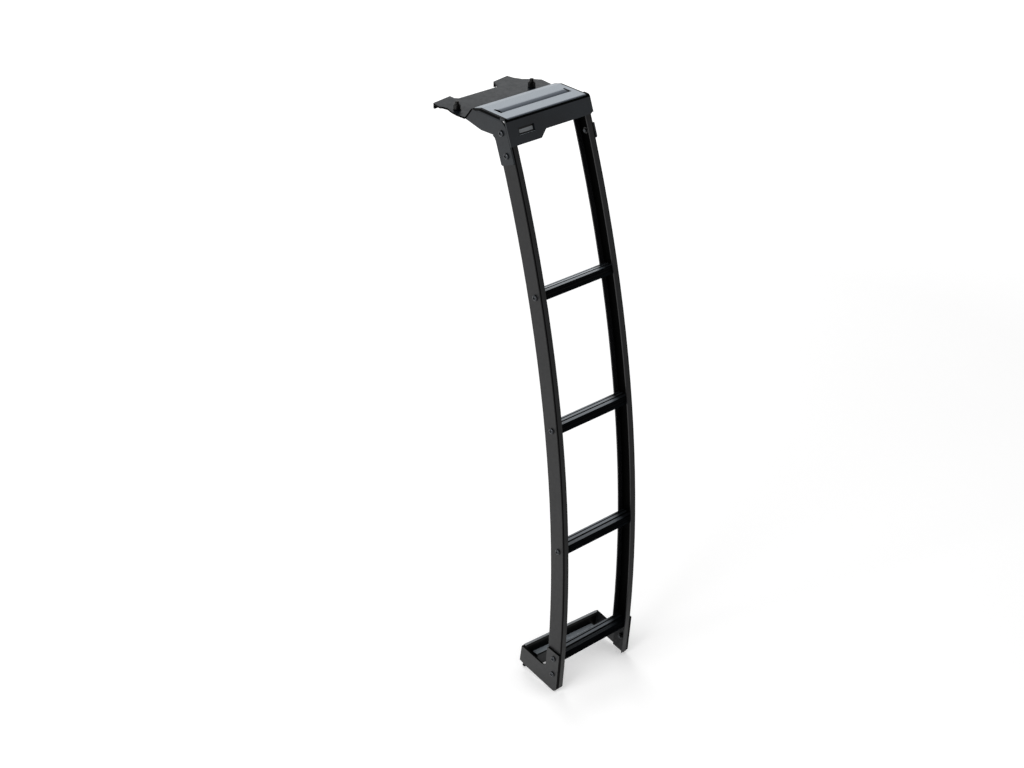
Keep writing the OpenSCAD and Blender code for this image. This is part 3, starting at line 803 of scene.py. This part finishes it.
nutSeat = arc["webX"] - arc["webSheet"]   # on the inner web face
lowest = arc["firstRung"] + 3 * arc["pitch"]
boltRows = [("tread_bolt_%d" % (i + 1), arc["firstRung"] + i * arc["pitch"], "webX", False) for i in range(3)]
boltRows += [("tread_bolt_4", lowest, "cheekX", False),
             ("top_bolt_upper", 0.0, "cheekX", True), ("top_bolt_lower", arc["boltGap"], "cheekX", True),
             ("foot_bolt", lowest + arc["boltGap"], "cheekX", True)]
for row, (name, length, seat, hasNut) in enumerate(boltRows):
    point = onArc(length)
    for side, word in ((-1, "left"), (1, "right")):
        mesh = cheekBolt if seat == "cheekX" else treadBolt
        spin = 0.7 * row + 0.4 * side   # so that no two sockets stand alike
        bolt = placePiece(name + "_" + word, mesh, zinc, sideMatrix(side, arc[seat], point, 1, spin))
        if hasNut:
            nut = placePiece(name.replace("bolt", "nut") + "_" + word, nutShape, oxide,
                             sideMatrix(side, nutSeat, point, -1, 0.3 + row))
print("bolts and nuts placed")

# studs with threads, washers and lock nuts stand for the plain ones; the nuts are drawn
# as wide as they look, smaller than the part's own
studX = 0.101
studLook = {
    "radius": 4.8, "low": -8.0, "high": 23.0, "pitch": 1.5, "depth": 0.6, "runOut": 1.2,   # mm
    "segments": 32, "steps": 8,   # steps per turn of the thread
}
clampNutLook = {"flats": 14.0, "height": 9.5, "bore": 4.7, "chamfer": 0.9, "collar": 2.0}
washerLook = {"bore": 4.9, "radius": 8.5, "low": 4.0, "high": 6.0, "broken": 0.3, "segments": 48}
studShape = threadMesh("clampStud", studLook)
washerShape = washerMesh("clampWasher", washerLook)
clampNutShape = nutMesh("clampLockNut", clampNutLook)
for side, word in ((-1, "left"), (1, "right")):
    seat = Matrix.Translation((side * studX, 0, 0))
    raised = Matrix.Translation((side * studX, 0, washerLook["high"] * mm))
    raised = raised @ Matrix.Rotation(0.5 + side * 0.3, 4, "Z")
    stack = (("threaded_stud_", studShape, oxide, seat, "clamp_stud_"),
             ("round_washer_", washerShape, clampCoat, seat, "clamp_washer_"),
             ("lock_nut_", clampNutShape, oxide, raised, "clamp_nut_"))
    for name, shape, material, matrix, node in stack:
        piece = placePiece(name + word, shape, material, matrix)
        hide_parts(node + word)

# small screw that comes through the bottom flange of the lower bracket
screwLook = {
    "place": (-0.104, -0.2262, -1.2962), "down": (0.0, 0.156, -0.988),   # metres, square to the flange
    "radius": 3.0, "low": -0.5, "high": 17.6, "pitch": 0.8, "depth": 0.4, "runOut": 1.2,   # mm
    "segments": 20, "steps": 6,
}
screwNutLook = {"flats": 8.5, "height": 4.5, "bore": 2.9, "chamfer": 0.5, "seat": 11.8}
down = Vector(screwLook["down"]).to_track_quat("Z", "Y").to_matrix().to_4x4()
down = Matrix.Translation(screwLook["place"]) @ down
placePiece("flange_screw", threadMesh("flangeScrew", screwLook), oxide, down)
seat = down @ Matrix.Translation((0, 0, screwNutLook["seat"] * mm))
placePiece("flange_screw_nut", nutMesh("flangeScrewNut", screwNutLook), oxide, seat)
print("studs, lock nuts and flange screw placed")


# camera, floor and light

cameraLook = {
    "place": (-2.1860, -2.6438, 1.3195),
    "yaw": 40.18, "pitch": 30.32,      # degrees to the right of +Y, and down
    "focalPixels": 1738.14, "imageWidth": 1024, "sensor": 36.0,
}
camera = bpy.data.cameras.new("photoCamera")
camera.sensor_fit = "HORIZONTAL"
camera.sensor_width = cameraLook["sensor"]
camera.lens = cameraLook["focalPixels"] * cameraLook["sensor"] / cameraLook["imageWidth"]
camera.clip_end = 200
cameraObject = bpy.data.objects.new("photoCamera", camera)
cameraObject.location = cameraLook["place"]
cameraObject.rotation_euler = (math.radians(90 - cameraLook["pitch"]), 0, math.radians(-cameraLook["yaw"]))
scene.collection.objects.link(cameraObject)
scene.camera = cameraObject

lightLook = {
    "worldDiffuse": 0.62,    # the sky as lamps see it; it shows as plain white
    "keyPower": 75, "keySize": 2.4, "keyPlace": (-3.4, -0.6, 1.6),
    "backPower": 45, "backSize": 2.0, "backPlace": (1.6, 3.4, 2.3),
    "target": (0.0, -0.25, -0.65),
}
world = bpy.data.worlds.new("studio")
scene.world = world
world.use_nodes = True
tree = world.node_tree
tree.nodes.clear()
path = addNode(tree, "ShaderNodeLightPath")
seen = addNode(tree, "ShaderNodeMath", {"operation": "MAXIMUM"},
               i0=(path, "Is Camera Ray"), i1=(path, "Is Glossy Ray"))
seen = addNode(tree, "ShaderNodeMath", {"operation": "MAXIMUM"},
               i0=(seen, 0), i1=(path, "Is Transmission Ray"))
strength = addNode(tree, "ShaderNodeMapRange", Value=(seen, 0), To_Min=lightLook["worldDiffuse"], To_Max=1.0)
sky = addNode(tree, "ShaderNodeBackground", Color=linearColour("ffffff"), Strength=(strength, "Result"))
addNode(tree, "ShaderNodeOutputWorld", Surface=(sky, "Background"))


def addArea(name, power, size, location):
    lamp = bpy.data.lights.new(name, "AREA")
    lamp.energy = power
    lamp.size = size
    lampObject = bpy.data.objects.new(name, lamp)
    lampObject.location = location
    direction = Vector(lightLook["target"]) - Vector(location)
    lampObject.rotation_euler = direction.to_track_quat("-Z", "Y").to_euler()
    scene.collection.objects.link(lampObject)
    return lampObject


addArea("softKey", lightLook["keyPower"], lightLook["keySize"], lightLook["keyPlace"])
back = addArea("softBack", lightLook["backPower"], lightLook["backSize"], lightLook["backPlace"])
back.visible_glossy = False


def sheetOf(name, corners, material):
    # one flat sheet that belongs to the studio and not to the ladder
    bm = bmesh.new()
    bm.faces.new([bm.verts.new(corner) for corner in corners])
    mesh = bpy.data.meshes.new(name)
    bm.to_mesh(mesh)
    bm.free()
    mesh.materials.append(material)
    piece = bpy.data.objects.new(name, mesh)
    scene.collection.objects.link(piece)
    return piece


# dark cards seen only in the gloss of the coat, as a studio sets round a black object
cardLook = {   # name: (brightness, corners in metres)
    "overheadCard": (0.05, [(-7, -9, 3.2), (7, -9, 3.2), (7, 2.5, 3.2), (-7, 2.5, 3.2)]),
    "frontCard": (0.5, [(-2, -7, -1.2), (7, -6, -1.2), (7, -6, 3.1), (-2, -7, 3.1)]),
    "groundCard": (0.5, [(-1.5, -8, -1.31), (8, -8, -1.31), (8, -0.45, -1.31), (-1.5, -0.45, -1.31)]),
}
for cardName, (level, corners) in cardLook.items():
    cardMaterial = bpy.data.materials.new(cardName)
    cardMaterial.use_nodes = True
    tree = cardMaterial.node_tree
    tree.nodes.clear()
    glow = addNode(tree, "ShaderNodeEmission", Color=(1, 1, 1, 1), Strength=level)
    addNode(tree, "ShaderNodeOutputMaterial", Surface=(glow, "Emission"))
    card = sheetOf(cardName, corners, cardMaterial)
    card.visible_camera = False
    card.visible_diffuse = False
    card.visible_shadow = False
    card.visible_transmission = False

floorLook = {
    "size": 60.0, "hex": "f2f2f2", "rough": 0.9, "sheen": 0.1,
    "cameraLift": 0.25,
    "farLift": 0.5, "farFrom": 2.5, "farTo": 7.0,   # metres, the far floor joins the white backdrop
}
floorMaterial, tree, shader, texture = newMaterial("PaleStudioFloor")
path = addNode(tree, "ShaderNodeLightPath")
lift = addNode(tree, "ShaderNodeMath", {"operation": "MAXIMUM"},
               i0=(path, "Is Camera Ray"), i1=(path, "Is Glossy Ray"))
lift = addNode(tree, "ShaderNodeMath", {"operation": "MULTIPLY"}, i0=(lift, 0), i1=floorLook["cameraLift"])
away = addNode(tree, "ShaderNodeVectorMath", {"operation": "LENGTH"}, i0=(texture, "Object"))
far = addNode(tree, "ShaderNodeMapRange", Value=(away, "Value"), From_Min=floorLook["farFrom"],
              From_Max=floorLook["farTo"], To_Max=floorLook["farLift"])
lift = addNode(tree, "ShaderNodeMath", {"operation": "MULTIPLY_ADD"},
               i0=(path, "Is Camera Ray"), i1=(far, "Result"), i2=(lift, 0))
feed(tree, shader, Base_Color=linearColour(floorLook["hex"]), Roughness=floorLook["rough"],
     Specular_IOR_Level=floorLook["sheen"], Emission_Color=(1, 1, 1, 1), Emission_Strength=(lift, 0))
half = floorLook["size"] / 2
ground = cadBox[0][2]
floorCorners = [(x, y, ground) for x, y in ((-half, -half), (half, -half), (half, half), (-half, half))]
sheetOf("studioFloor", floorCorners, floorMaterial)

scene.view_settings.view_transform = "Standard"
print("camera, light and floor set")
